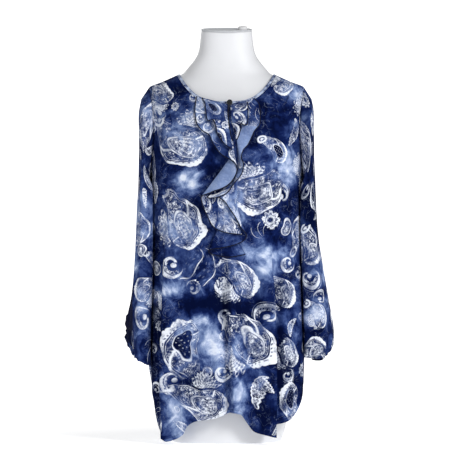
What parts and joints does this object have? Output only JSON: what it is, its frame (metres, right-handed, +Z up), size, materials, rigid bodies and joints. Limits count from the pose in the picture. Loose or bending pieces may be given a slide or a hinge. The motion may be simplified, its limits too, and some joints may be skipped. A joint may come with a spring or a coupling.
{
  "type": "tunic top on dress form",
  "caption": "Long-sleeved tunic top with a cascade of flounces down the front and a shirt-tail hem, worn by a limbless dress form that stands on its flat base.",
  "frame": {"origin": "centre of the dress form's flat base, on the surface it stands on", "axes": "+Z up, the garment's front faces -Y, +X to the right as seen from the front"},
  "size_m": [0.4629, 0.312, 0.9145],
  "materials": {
    "printed_cloth": "soft woven cloth, printed in navy, blue and white",
    "flounce_cloth": "the same printed cloth with dark rolled edges",
    "button_black": "polished",
    "form_white": "smooth satin white",
    "form_cap_grey": "satin grey"
  },
  "bodies": {
    "root": {"front": "printed_cloth", "back": "printed_cloth", "sleeve_left": "printed_cloth", "sleeve_right": "printed_cloth", "cuff_left": "printed_cloth", "cuff_right": "printed_cloth", "neck_binding": "printed_cloth", "flounce_left_long": "flounce_cloth", "flounce_right_long": "flounce_cloth", "flounce_left_short": "flounce_cloth", "flounce_right_short": "flounce_cloth", "button": "button_black", "button_loop": "button_black", "form_torso": "form_white", "form_neck_cap": "form_cap_grey", "form_neck_plug": "form_white"}
  },
  "joints": []
}
